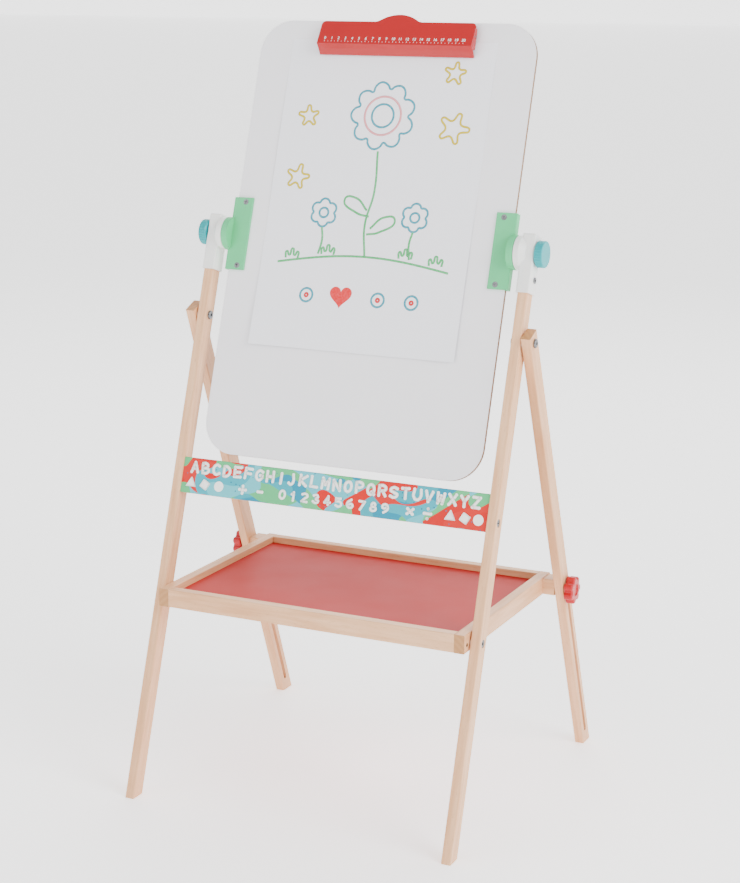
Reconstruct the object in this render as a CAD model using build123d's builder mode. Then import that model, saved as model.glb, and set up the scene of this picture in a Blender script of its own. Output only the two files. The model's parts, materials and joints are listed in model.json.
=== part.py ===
from build123d import *
import os
from math import cos, hypot, radians, sin, tan

# Kids easel: a leaning front frame that carries a two-faced board on a tilt axis, two rear legs
# hinged to its sides, and a tray that ties the legs together and folds down between them.
# X runs across the easel, Y to the back, Z up. The origin is on the floor, mid-way between feet.
os.makedirs("parts", exist_ok=True)
SIDES = ((-1, "left"), (1, "right"))

# ---- Driving dimensions, in millimetres and degrees ----
# Lengths along the front legs are measured from the foot's front edge, depths from their front face.
frame_width = 466.0  # over the outer faces of the front legs
front_lean = 17.5  # front legs and board, back from the vertical
rear_lean = 23.2  # rear legs, forward from the vertical
leg_thickness = 13.0  # along X, all four legs
front_leg_depth = 22.0
rear_leg_depth = 25.5
leg_edge = 1.5  # eased long edges of the legs
leg_gap = 2.0  # between a front leg and its rear leg
leg_pivot = 652.0  # up the front leg to the bolt of the rear leg
rear_overhang = 13.0  # rear leg above that bolt
play = 0.3  # between flat faces that slide
running = 0.06  # radial clearance of a turning pin

board_gap = 20.0  # between the board and a front leg, for the bracket and the boss
board_height = 596.0
board_corner = 45.0
board_clearance = 10.2  # between the board and the alphabet rail
core_thickness = 5.0
sheet_thickness = 0.4  # whiteboard and chalkboard faces

rail_bottom = 409.5  # alphabet rail, up the front leg
rail_height = 47.8
rail_depth = 2.5  # its face behind the legs' front faces
rail_thickness = 12.0

tray_pivot = 272.0  # up the front leg to the tray's bolt
tray_front = 25.5  # tray beyond its bolt, to the front
tray_back = 14.5  # tray beyond its sliding bolt, to the back
tray_height = 24.0
tray_pivot_rise = 8.5  # bolts above the tray's underside
tray_play = 1.8  # beside each front leg
tray_rail = 14.0  # rail thickness
panel_thickness = 3.0
panel_drop = 9.0  # panel below the rails' top
panel_groove = 5.0
spacer_length = 27.0
spacer_height = 22.0
slot_width = 7.2
slot_foot = 20.3  # wood left below the slot, along the rear leg's middle

bolt_radius = 3.0
bolt_head_radius = 6.0
bolt_head_height = 2.8
sleeve_radius = 4.0
washer_radius = 8.0
recess_radius = 5.3  # sunk heads in the front legs' outer faces
recess_depth = 3.0
sunk_head_radius = 5.0
sunk_head_height = 2.5
insert_radius = 4.2
insert_length = 8.0
screw_radius = 2.0
dowel_radius = 3.0
dowel_length = 20.0

cap_length = 76.0
cap_top = 24.0  # above the tilt axis
cap_side_wall = 2.4
cap_face_wall = 1.6
cap_end_wall = 3.0
boss_radius = 22.5
boss_length = 7.6
boss_gap = 0.4

bracket_height = 99.0
bracket_reach = 24.0  # plates over the board's faces
bracket_plate = 2.8
bracket_wall = 4.5  # beyond the board's edge
bracket_edge = 1.2
bracket_screw_inset = 13.3  # from the board's edge
bracket_screw_spacing = 87.2
bracket_screw_head = 3.9

tilt_knob_radius = 17.3
tilt_knob_length = 11.2
tilt_knob_ribs = 30
tilt_knob_gap = 0.9
star_lobes = 7
star_radius = 19.2
star_lobe_radius = 5.4
star_length = 12.2
star_dish = 1.6
outer_washer = 1.0

clip_width = 223.0
clip_centre = 4.0  # off the board's middle
clip_shell = 2.2
clip_pin_up = 278.0  # above the tilt axis
clip_pin_out = 7.0  # in front of the board
clip_pin_radius = 1.5
bump_width = 60.0
bump_rise = 11.0
bump_blend = 14.0
clip_corner = 6.0
sheet_size = (297.0, 420.0, 0.3)
sheet_centre = -3.2
sheet_top = 272.0  # above the tilt axis

# ---- Worked out from them ----
leg_outer = frame_width / 2
leg_inner = leg_outer - leg_thickness
board_width = 2 * (leg_inner - board_gap)
board_axis = rail_bottom + rail_height + board_clearance + board_height / 2  # tilt axis
rear_inner = leg_outer + leg_gap
rear_outer = rear_inner + leg_thickness
leg_middle = front_leg_depth / 2
lean = radians(front_lean)
splay = radians(rear_lean)
pivot_y = leg_pivot * sin(lean) + leg_middle * cos(lean)
pivot_z = leg_pivot * cos(lean) - leg_middle * sin(lean)
rear_foot_y = pivot_y + pivot_z * tan(splay) + rear_leg_depth / 2 / cos(splay)
front_y = -rear_foot_y / 2
rear_length = pivot_z / cos(splay)

front = Plane(origin=(0, front_y, 0), x_dir=(1, 0, 0), z_dir=(0, sin(lean), cos(lean)))
rear = Plane(
    origin=(0, front_y + pivot_y, pivot_z), x_dir=(1, 0, 0), z_dir=(0, -sin(splay), cos(splay))
)
tray_y = front_y + tray_pivot * sin(lean) + leg_middle * cos(lean)
tray_z = tray_pivot * cos(lean) - leg_middle * sin(lean)
tray = Plane(origin=(0, tray_y, tray_z), x_dir=(1, 0, 0), z_dir=(0, 0, 1))
tray_reach = front_y + pivot_y + (pivot_z - tray_z) * tan(splay) - tray_y  # bolt to sliding bolt

board_thickness = core_thickness + 2 * sheet_thickness
board_face = leg_middle - board_thickness / 2
board_back = board_face + board_thickness
board_edge = board_width / 2
cap_inner = leg_inner - cap_side_wall
cap_outer = leg_outer + cap_side_wall
boss_face = cap_inner - boss_length
wall_face = board_edge + bracket_wall
tilt_knob_face = cap_outer + tilt_knob_gap
star_face = rear_outer + play + outer_washer
tray_outer = leg_inner - tray_play
tray_inner = tray_outer - tray_rail
tray_bottom = -tray_pivot_rise
tray_top = tray_bottom + tray_height
panel_top = tray_top - panel_drop


def across(frame, x):
    """Plane facing +X at x. Its axes run along the frame's depth and its length."""
    return Plane(
        origin=frame.from_local_coords((x, 0, 0)), x_dir=frame.y_dir, z_dir=frame.x_dir
    )


def facing(frame, depth, x=0, length=0):
    """Plane facing the front at a depth. Its axes run along X and the frame's length."""
    origin = frame.from_local_coords((x, depth, length))
    return Plane(origin=origin, x_dir=frame.x_dir, z_dir=-frame.y_dir)


def save(piece, name):
    """Labels a finished piece and writes it to its own file."""
    piece.part.label = name
    export_step(piece.part, f"parts/{name}.step")


def rod(frame, side, at, start, end, radius, mode=Mode.ADD):
    """Cylinder along X on one side, from start to end off the middle, at (depth, length)."""
    with BuildSketch(across(frame, side * start)) as disc:
        with Locations(at):
            Circle(radius)
    extrude(disc.sketch, amount=side * (end - start), mode=mode)


def edges_at(piece, x):
    """Edges whose middle lies at that X, such as the rim of a rod's end."""
    return piece.edges().filter_by_position(Axis.X, x - 0.01, x + 0.01)


def ring(frame, side, at, start, end, radius, hole):
    """A rod with a bore."""
    rod(frame, side, at, start, end, radius)
    rod(frame, side, at, start, end, hole, mode=Mode.SUBTRACT)


def cross_recess(plane, size, depth):
    """Cross-shaped driver recess in a screw head."""
    with BuildSketch(plane) as cross:
        Rectangle(size, size / 4)
        Rectangle(size / 4, size)
    extrude(cross.sketch, amount=-depth, mode=Mode.SUBTRACT)


def head_plane(frame, side, at, x):
    """Plane on the outer end of a rod, facing away from the middle."""
    origin = frame.from_local_coords((side * x, *at))
    return Plane(origin=origin, x_dir=frame.y_dir, z_dir=frame.x_dir * side)


def countersunk_screw(plane, radius, head_radius, length):
    """Screw with a flat countersunk head whose top lies in the plane."""
    with BuildSketch(plane) as head:
        Circle(head_radius)
    extrude(head.sketch, amount=-(head_radius - radius), taper=45)
    with BuildSketch(plane) as shank:
        Circle(radius)
    extrude(shank.sketch, amount=-length)
    cross_recess(plane, head_radius, head_radius / 3)


def countersink(plane, radius, head_radius, depth):
    """Hole for that screw."""
    with Locations(plane):
        CounterSinkHole(radius, head_radius, depth=depth, counter_sink_angle=90)


def thick_line(points, thickness):
    """Closed outline of a bent plate: the points, then the same line moved to its right."""
    moved = []
    for i, (x, y) in enumerate(points):
        before = points[max(i - 1, 0)]
        after = points[min(i + 1, len(points) - 1)]
        turns = []
        for a, b in ((before, (x, y)), ((x, y), after)):
            run = hypot(b[0] - a[0], b[1] - a[1])
            if run > 0:
                turns.append(((b[1] - a[1]) / run, -(b[0] - a[0]) / run))
        nx = sum(t[0] for t in turns)
        ny = sum(t[1] for t in turns)
        grow = thickness * len(turns) / (nx * nx + ny * ny)
        moved.append((x + nx * grow, y + ny * grow))
    return points + moved[::-1]


# ---- Front legs ----
pivot_at = (leg_middle, leg_pivot)
tray_at = (leg_middle, tray_pivot)
tilt_at = (leg_middle, board_axis)
rail_middle = rail_depth + rail_thickness / 2
rail_screw_at = (rail_middle, rail_bottom + rail_height * 0.27)
rail_dowel_at = (rail_middle, rail_bottom + rail_height * 0.73)
cap_bottom = board_axis + cap_top - cap_length
cap_screw_at = (leg_middle + 3.0, board_axis - 33.7)
cap_screw_depth = 9.0
front_leg_top = board_axis + cap_top - cap_end_wall
cap_head_height = 1.4
dowel_bite = 8.0  # dowel inside a leg

for side, hand in SIDES:
    with BuildPart() as front_leg:
        with BuildSketch(front.offset(-front_leg_depth)):
            with Locations((side * (leg_inner + leg_thickness / 2), leg_middle)):
                RectangleRounded(leg_thickness, front_leg_depth, leg_edge)
        extrude(amount=front_leg_top + front_leg_depth)
        split(bisect_by=Plane.XY, keep=Keep.TOP)
        for at, radius in (
            (pivot_at, sleeve_radius),
            (tray_at, bolt_radius),
            (rail_screw_at, screw_radius),
            (tilt_at, bolt_radius + running),
        ):
            rod(front, side, at, leg_inner, leg_outer, radius, mode=Mode.SUBTRACT)
        for at in (tray_at, rail_screw_at):
            rod(front, side, at, leg_outer - recess_depth, leg_outer, recess_radius, Mode.SUBTRACT)
        rod(front, side, rail_dowel_at, leg_inner, leg_inner + dowel_bite, dowel_radius, Mode.SUBTRACT)
        rod(front, side, cap_screw_at, leg_outer - cap_screw_depth, leg_outer, screw_radius,
            Mode.SUBTRACT)
    save(front_leg, f"front_leg_{hand}")

# ---- Leg caps: sockets over the legs' tops, each with a round boss towards the board ----
cap_depth = front_leg_depth + 2 * cap_face_wall
for side, hand in SIDES:
    with BuildPart() as cap:
        with BuildSketch(front.offset(cap_bottom)):
            with Locations((side * (cap_inner + cap_outer) / 2, leg_middle)):
                RectangleRounded(cap_outer - cap_inner, cap_depth, leg_edge + cap_face_wall / 2)
        extrude(amount=cap_length)
        top_edges = cap.faces().sort_by(Axis(front.origin, front.z_dir))[-1].edges()
        fillet(top_edges, radius=cap_face_wall)
        rod(front, side, tilt_at, boss_face, cap_inner, boss_radius)
        fillet(edges_at(cap, side * boss_face), radius=cap_face_wall)
        with BuildSketch(across(front, side * cap_inner)):
            with Locations(tilt_at):
                Circle(boss_radius)
        extrude(amount=side * boss_length, taper=45)
        with BuildSketch(front.offset(cap_bottom)):
            with Locations((side * (leg_inner + leg_thickness / 2), leg_middle)):
                RectangleRounded(leg_thickness, front_leg_depth, leg_edge)
        extrude(amount=cap_length - cap_end_wall, mode=Mode.SUBTRACT)
        rod(front, side, tilt_at, boss_face, cap_outer, bolt_radius + running, Mode.SUBTRACT)
        rod(front, side, cap_screw_at, leg_outer, cap_outer, screw_radius, Mode.SUBTRACT)
    save(cap, f"leg_cap_{hand}")

with BuildPart() as cap_screws:
    for side, _ in SIDES:
        head_top = cap_outer + cap_head_height
        rod(front, side, cap_screw_at, leg_outer - cap_screw_depth, cap_outer, screw_radius)
        rod(front, side, cap_screw_at, cap_outer, head_top, bracket_screw_head)
        cross_recess(head_plane(front, side, cap_screw_at, head_top), bracket_screw_head, 1.0)
save(cap_screws, "cap_screws")

# ---- Alphabet rail, between the front legs ----
screw_bite = 30.0  # rail screw inside the rail
with BuildPart() as alphabet_rail:
    with BuildSketch(across(front, -leg_inner)):
        with Locations((rail_middle, rail_bottom + rail_height / 2)):
            RectangleRounded(rail_thickness, rail_height, leg_edge)
    extrude(amount=2 * leg_inner)
    for side, _ in SIDES:
        rod(front, side, rail_screw_at, leg_inner - screw_bite, leg_inner, screw_radius, Mode.SUBTRACT)
        rod(front, side, rail_dowel_at, leg_inner - dowel_length + dowel_bite, leg_inner,
            dowel_radius, Mode.SUBTRACT)
save(alphabet_rail, "alphabet_rail")

with BuildPart() as rail_screws:
    for side, _ in SIDES:
        seat = leg_outer - recess_depth
        rod(front, side, rail_screw_at, leg_inner - screw_bite, seat, screw_radius)
        rod(front, side, rail_screw_at, seat, seat + sunk_head_height, sunk_head_radius)
        cross_recess(
            head_plane(front, side, rail_screw_at, seat + sunk_head_height), sunk_head_radius, 1.2
        )
save(rail_screws, "rail_screws")

with BuildPart() as rail_dowels:
    for side, _ in SIDES:
        rod(front, side, rail_dowel_at, leg_inner - dowel_length + dowel_bite,
            leg_inner + dowel_bite, dowel_radius)
save(rail_dowels, "rail_dowels")

# ---- Leg pivots: bolt through the rear leg, sleeve nut from inside the front leg ----
sleeve_length = 10.0
sleeve_head = 2.6
pivot_washer = leg_gap - 0.2
with BuildPart() as leg_pivot_bolts:
    for side, _ in SIDES:
        seat = rear_outer + 0.2
        rod(front, side, pivot_at, leg_inner, seat, bolt_radius)
        rod(front, side, pivot_at, seat, seat + bolt_head_height, bolt_head_radius)
        crown = edges_at(leg_pivot_bolts, side * (seat + bolt_head_height))
        fillet(crown, radius=bolt_head_height * 0.6)
        with BuildSketch(head_plane(front, side, pivot_at, seat + bolt_head_height)):
            RegularPolygon(radius=bolt_radius * 0.75, side_count=6)
        extrude(amount=-bolt_head_height * 0.6, mode=Mode.SUBTRACT)
save(leg_pivot_bolts, "leg_pivot_bolts")

with BuildPart() as leg_pivot_nuts:
    for side, _ in SIDES:
        rod(front, side, pivot_at, leg_inner - sleeve_head, leg_inner, bolt_head_radius)
        fillet(edges_at(leg_pivot_nuts, side * (leg_inner - sleeve_head)), radius=sleeve_head * 0.5)
        rod(front, side, pivot_at, leg_inner, leg_inner + sleeve_length, sleeve_radius)
        rod(front, side, pivot_at, leg_inner, leg_inner + sleeve_length, bolt_radius, Mode.SUBTRACT)
        with BuildSketch(head_plane(front, -side, pivot_at, sleeve_head - leg_inner)):
            RegularPolygon(radius=bolt_radius * 0.75, side_count=6)
        extrude(amount=-sleeve_head * 0.6, mode=Mode.SUBTRACT)
save(leg_pivot_nuts, "leg_pivot_nuts")

with BuildPart() as leg_pivot_washers:
    for side, _ in SIDES:
        ring(front, side, pivot_at, leg_outer, leg_outer + pivot_washer, washer_radius, sleeve_radius)
save(leg_pivot_washers, "leg_pivot_washers")

# ---- Rear legs: a bolt hole near the top and a long slot for the tray's sliding bolt ----
slide_down = hypot(front_y + pivot_y - tray_y - tray_reach, pivot_z - tray_z)  # pivot to bolt
slot_start = -slide_down
slot_end = -(rear_length - slot_foot - slot_width / 2)
for side, hand in SIDES:
    with BuildPart() as rear_leg:
        with BuildSketch(rear.offset(-rear_length - rear_leg_depth)):
            with Locations((side * (rear_inner + leg_thickness / 2), 0)):
                RectangleRounded(leg_thickness, rear_leg_depth, leg_edge)
        extrude(amount=rear_length + rear_leg_depth + rear_overhang)
        split(bisect_by=Plane.XY, keep=Keep.TOP)
        rod(rear, side, (0, 0), rear_inner, rear_outer, bolt_radius + running, Mode.SUBTRACT)
        with BuildSketch(across(rear, side * rear_inner)):
            with Locations((0, (slot_start + slot_end) / 2)):
                SlotCenterToCenter(slot_start - slot_end, slot_width, rotation=90)
        extrude(amount=side * leg_thickness, mode=Mode.SUBTRACT)
    save(rear_leg, f"rear_leg_{hand}")

# ---- Tray: four rails, a panel in their grooves, and a spacer block at each rear corner ----
tray_start = -tray_front
tray_end = tray_reach + tray_back
tray_length = tray_end - tray_start
groove_low = panel_top - panel_thickness
slide_at = (tray_reach, 0)
corner_screw_radius = 1.6
corner_head_radius = 2.9
corner_head_depth = 2.4
corner_screw_length = 26.0
corner_dowel_height = tray_bottom + 19.5
corner_screw_height = tray_bottom + 9.5
corner_places = (tray_start + 9.3, tray_end - tray_rail / 2)

for side, hand in SIDES:
    with BuildPart() as side_rail:
        with BuildSketch(tray.offset(tray_bottom)):
            with Locations((side * (tray_inner + tray_rail / 2), (tray_start + tray_end) / 2)):
                Rectangle(tray_rail, tray_length)
        extrude(amount=tray_height)
        fillet(side_rail.edges().filter_by(Axis.Y), radius=1.0)
        with BuildSketch(tray.offset(groove_low)):
            with Locations((side * (tray_inner + panel_groove / 2), (tray_start + tray_end) / 2)):
                Rectangle(panel_groove, tray_length - 2 * (tray_rail - panel_groove))
        extrude(amount=panel_thickness, mode=Mode.SUBTRACT)
        for at in ((0, 0), slide_at):
            rod(tray, side, at, tray_outer - insert_length, tray_outer, insert_radius, Mode.SUBTRACT)
        for place in corner_places:
            screw_at = (place, corner_screw_height)
            dowel_at = (place, corner_dowel_height)
            rod(tray, side, screw_at, tray_inner, tray_outer, corner_screw_radius, Mode.SUBTRACT)
            rod(tray, side, screw_at, tray_outer - corner_head_depth - 0.8, tray_outer,
                corner_head_radius, Mode.SUBTRACT)
            rod(tray, side, dowel_at, tray_inner, tray_inner + dowel_bite, dowel_radius, Mode.SUBTRACT)
    save(side_rail, f"tray_side_rail_{hand}")

for name, low, place in (
    ("tray_front_rail", tray_start, corner_places[0]),
    ("tray_rear_rail", tray_end - tray_rail, corner_places[1]),
):
    inward = 1 if low < 0 else -1
    groove_middle = low + tray_rail / 2 + inward * (tray_rail - panel_groove) / 2
    with BuildPart() as cross_rail:
        with BuildSketch(tray.offset(tray_bottom)):
            with Locations((0, low + tray_rail / 2)):
                Rectangle(2 * tray_inner, tray_rail)
        extrude(amount=tray_height)
        fillet(cross_rail.edges().filter_by(Axis.X), radius=1.0)
        with BuildSketch(tray.offset(groove_low)):
            with Locations((0, groove_middle)):
                Rectangle(2 * tray_inner, panel_groove)
        extrude(amount=panel_thickness, mode=Mode.SUBTRACT)
        for side, _ in SIDES:
            rod(tray, side, (place, corner_screw_height),
                tray_outer - corner_screw_length, tray_inner, corner_screw_radius, Mode.SUBTRACT)
            rod(tray, side, (place, corner_dowel_height),
                tray_inner - dowel_length + dowel_bite, tray_inner, dowel_radius, Mode.SUBTRACT)
    save(cross_rail, name)

with BuildPart() as tray_panel:
    with BuildSketch(tray.offset(groove_low)):
        with Locations((0, (tray_start + tray_end) / 2)):
            Rectangle(
                2 * (tray_inner + panel_groove),
                tray_length - 2 * (tray_rail - panel_groove),
            )
    extrude(amount=panel_thickness)
save(tray_panel, "tray_panel")

for side, hand in SIDES:
    with BuildPart() as spacer_block:
        with BuildSketch(across(tray, side * tray_outer)):
            with Locations((tray_reach, tray_bottom + spacer_height / 2 + 0.5)):
                Rectangle(spacer_length, spacer_height)
        extrude(amount=side * (rear_inner - play - tray_outer))
        fillet(spacer_block.edges().filter_by(Axis.X), radius=1.0)
        rod(tray, side, slide_at, tray_outer, rear_inner, bolt_radius, Mode.SUBTRACT)
    save(spacer_block, f"spacer_block_{hand}")

with BuildPart() as tray_inserts:
    for side, _ in SIDES:
        ring(tray, side, (0, 0), tray_outer - insert_length, tray_outer, insert_radius,
             bolt_radius + running)
        ring(tray, side, slide_at, tray_outer - insert_length, tray_outer, insert_radius, bolt_radius)
save(tray_inserts, "tray_inserts")

with BuildPart() as tray_corner_screws:
    for side, _ in SIDES:
        for place in corner_places:
            at = (place, corner_screw_height)
            seat = tray_outer - corner_head_depth - 0.8
            rod(tray, side, at, tray_outer - corner_screw_length, seat, corner_screw_radius)
            rod(tray, side, at, seat, seat + corner_head_depth, corner_head_radius)
            cross_recess(head_plane(tray, side, at, seat + corner_head_depth), corner_head_radius, 1.0)
save(tray_corner_screws, "tray_corner_screws")

with BuildPart() as tray_corner_dowels:
    for side, _ in SIDES:
        for place in corner_places:
            rod(tray, side, (place, corner_dowel_height), tray_inner - dowel_length + dowel_bite,
                tray_inner + dowel_bite, dowel_radius)
save(tray_corner_dowels, "tray_corner_dowels")

with BuildPart() as tray_pivot_bolts:
    for side, _ in SIDES:
        seat = leg_outer - recess_depth
        rod(front, side, tray_at, tray_outer - insert_length, seat, bolt_radius)
        rod(front, side, tray_at, seat, seat + sunk_head_height, sunk_head_radius)
        with BuildSketch(head_plane(front, side, tray_at, seat + sunk_head_height)):
            RegularPolygon(radius=bolt_radius * 0.75, side_count=6)
        extrude(amount=-sunk_head_height * 0.7, mode=Mode.SUBTRACT)
save(tray_pivot_bolts, "tray_pivot_bolts")

with BuildPart() as tray_pivot_washers:
    for side, _ in SIDES:
        ring(front, side, tray_at, tray_outer + play, leg_inner, washer_radius, bolt_radius)
save(tray_pivot_washers, "tray_pivot_washers")

# The sliding bolts are left out inside the rear legs' slots, where the linkage is open.
star_bolt_bite = 9.5
with BuildPart() as slide_bolts:
    for side, _ in SIDES:
        rod(tray, side, slide_at, tray_outer - insert_length, rear_inner - play, bolt_radius)
        rod(tray, side, slide_at, rear_outer + play, star_face + star_bolt_bite, bolt_radius)
save(slide_bolts, "slide_bolts")

with BuildPart() as slide_washers:
    for side, _ in SIDES:
        ring(tray, side, slide_at, rear_outer + play, star_face, washer_radius, bolt_radius)
save(slide_washers, "slide_washers")

# ---- Star knobs on the sliding bolts ----
star_insert_length = 9.0
star_face_gap = 0.2
for side, hand in SIDES:
    knob_start = star_face + star_face_gap
    knob_end = knob_start + star_length
    with BuildPart() as star_knob:
        with BuildSketch(across(tray, side * knob_start)):
            with Locations(slide_at):
                Circle(star_radius - star_lobe_radius * 0.75)
                with PolarLocations(star_radius - star_lobe_radius, star_lobes):
                    Circle(star_lobe_radius)
        extrude(amount=side * star_length)
        fillet(star_knob.edges().filter_by(Axis.X), radius=1.6)
        fillet(edges_at(star_knob, side * knob_end), radius=3.0)
        fillet(edges_at(star_knob, side * knob_start), radius=1.5)
        with BuildSketch(across(tray, side * knob_end)):
            with Locations(slide_at):
                Circle(star_radius - 2 * star_lobe_radius)
        extrude(amount=-side * star_dish, taper=30, mode=Mode.SUBTRACT)
        rod(tray, side, slide_at, knob_start, knob_start + star_insert_length + 1.0, insert_radius,
            Mode.SUBTRACT)
    save(star_knob, f"star_knob_{hand}")
    with BuildPart() as star_insert:
        ring(tray, side, slide_at, knob_start, knob_start + star_insert_length, insert_radius,
             bolt_radius + running)
    save(star_insert, f"star_knob_insert_{hand}")

# ---- Board: a core with a whiteboard face and a chalkboard face ----
clip_screw_up = 286.0
clip_screw_spacing = 150.0
clip_screw_radius = 1.5
clip_screw_head = 2.9
clip_plate = 2.0
clip_screw_length = 6.4
bracket_screw_places = [
    (side * (board_edge - bracket_screw_inset), board_axis + up * bracket_screw_spacing / 2)
    for side, _ in SIDES
    for up in (-1, 1)
]
clip_screw_places = [
    (clip_centre + side * clip_screw_spacing / 2, board_axis + clip_screw_up) for side, _ in SIDES
]
for name, near, far in (
    ("whiteboard_sheet", board_face, board_face + sheet_thickness),
    ("board_core", board_face + sheet_thickness, board_back - sheet_thickness),
    ("chalkboard_sheet", board_back - sheet_thickness, board_back),
):
    with BuildPart() as layer:
        with BuildSketch(facing(front, far)):
            with Locations((0, board_axis)):
                RectangleRounded(board_width, board_height, board_corner)
            with Locations(*bracket_screw_places):
                Circle(screw_radius, mode=Mode.SUBTRACT)
        extrude(amount=far - near)
        with BuildSketch(facing(front, board_face)):
            with Locations(*clip_screw_places):
                Circle(clip_screw_radius)
        extrude(amount=clip_plate - clip_screw_length, mode=Mode.SUBTRACT)
    save(layer, name)

# ---- Brackets: channels over the board's edges, each with a flange on the tilt axis ----
head_height = 4.0
head_radius = 5.6
bracket_bottom = board_axis - bracket_height / 2
plate_front = board_face - bracket_plate
plate_back = board_back + bracket_plate
flange_end = boss_face - boss_gap
for side, hand in SIDES:
    with BuildPart() as bracket:
        with BuildSketch(front.offset(bracket_bottom)):
            outer_middle = side * (wall_face - (bracket_reach + bracket_wall) / 2)
            with Locations((outer_middle, leg_middle)):
                RectangleRounded(
                    bracket_reach + bracket_wall, plate_back - plate_front, bracket_edge
                )
            with Locations((side * (board_edge - bracket_reach / 2 - 1), leg_middle)):
                Rectangle(bracket_reach + 2, board_thickness, mode=Mode.SUBTRACT)
        extrude(amount=bracket_height)
        rod(front, side, tilt_at, board_edge + 1, flange_end, boss_radius)
        fillet(edges_at(bracket, side * flange_end), radius=bracket_edge)
        with BuildSketch(facing(front, leg_middle + board_thickness / 2)):
            with Locations((side * (board_edge - bracket_reach / 2), board_axis)):
                Rectangle(bracket_reach, bracket_height)
        extrude(amount=board_thickness, mode=Mode.SUBTRACT)
        with BuildSketch(across(front, side * board_edge)):
            with Locations(tilt_at):
                RegularPolygon(radius=head_radius, side_count=6)
        extrude(amount=side * head_height, mode=Mode.SUBTRACT)
        rod(front, side, tilt_at, board_edge, flange_end, bolt_radius, Mode.SUBTRACT)
        for x, up in bracket_screw_places:
            if x * side > 0:
                countersink(facing(front, plate_front, x, up), screw_radius, bracket_screw_head,
                            plate_back - plate_front)
    save(bracket, f"board_bracket_{hand}")

nut_radius = 3.4
nut_height = 2.0
with BuildPart() as bracket_screws:
    for x, up in bracket_screw_places:
        countersunk_screw(facing(front, plate_front, x, up), screw_radius, bracket_screw_head,
                          plate_back - plate_front + nut_height)
save(bracket_screws, "bracket_screws")

with BuildPart() as bracket_nuts:
    with BuildSketch(facing(front, plate_back)):
        with Locations(*bracket_screw_places):
            Circle(nut_radius)
            Circle(screw_radius, mode=Mode.SUBTRACT)
    extrude(amount=-nut_height)
save(bracket_nuts, "bracket_nuts")

tilt_bolt_end = tilt_knob_face + tilt_knob_length - 2.5
with BuildPart() as tilt_bolts:
    for side, _ in SIDES:
        with BuildSketch(across(front, side * board_edge)):
            with Locations(tilt_at):
                RegularPolygon(radius=head_radius, side_count=6)
        extrude(amount=side * head_height)
        rod(front, side, tilt_at, board_edge + head_height, tilt_bolt_end, bolt_radius)
save(tilt_bolts, "tilt_bolts")

# ---- Tilt knobs: ribbed discs outside the caps ----
tilt_insert_length = 8.0
rib_radius = 0.85
for side, hand in SIDES:
    with BuildPart() as tilt_knob:
        with BuildSketch(across(front, side * tilt_knob_face)):
            with Locations(tilt_at):
                Circle(tilt_knob_radius)
        extrude(amount=side * tilt_knob_length)
        chamfer(edges_at(tilt_knob, side * tilt_knob_face), length=1.8)
        fillet(edges_at(tilt_knob, side * (tilt_knob_face + tilt_knob_length)), radius=1.5)
        with BuildSketch(across(front, side * tilt_knob_face)):
            with Locations(tilt_at):
                with PolarLocations(tilt_knob_radius + rib_radius * 0.35, tilt_knob_ribs):
                    Circle(rib_radius)
        extrude(amount=side * (tilt_knob_length - 1.2), mode=Mode.SUBTRACT)
        rod(front, side, tilt_at, tilt_knob_face, tilt_knob_face + tilt_insert_length + 1.0,
            insert_radius, Mode.SUBTRACT)
    save(tilt_knob, f"tilt_knob_{hand}")
    with BuildPart() as tilt_insert:
        ring(front, side, tilt_at, tilt_knob_face, tilt_knob_face + tilt_insert_length,
             insert_radius, bolt_radius + running)
    save(tilt_insert, f"tilt_knob_insert_{hand}")


# ---- Paper clip: a sprung lever on a base plate at the board's top edge ----
def clip_point(up, out):
    """(depth, length) of a point above the tilt axis and in front of the board."""
    return (board_face - out, board_axis + up)


pin_at = clip_point(clip_pin_up, clip_pin_out)
clip_left = clip_centre - clip_width / 2
clip_right = clip_centre + clip_width / 2
flange_thickness = 2.0
lever_line = [clip_point(*p) for p in ((295.5, 9.0), (262.2, 17.5), (257.3, 11.0), (250.5, 3.0))]
flange_outline = [
    clip_point(*p) for p in ((288.5, 3.6), (288.5, 9.6), (262.6, 16.2), (258.2, 10.4), (262.0, 3.0))
]
plate_slope = Vector(0, lever_line[0][0] - lever_line[1][0], lever_line[0][1] - lever_line[1][1])
plate_up = (front.y_dir * plate_slope.Y + front.z_dir * plate_slope.Z).normalized()
plate_out = front.x_dir.cross(plate_up)
plate_top = Plane(
    origin=front.from_local_coords((clip_centre, *lever_line[0])),
    x_dir=front.x_dir,
    z_dir=plate_out,
)
bump_curve = ((bump_width / 2) ** 2 + bump_rise**2) / (2 * bump_rise)
bump_root = 6.0  # plate below its top edge that the bump is drawn with
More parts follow.
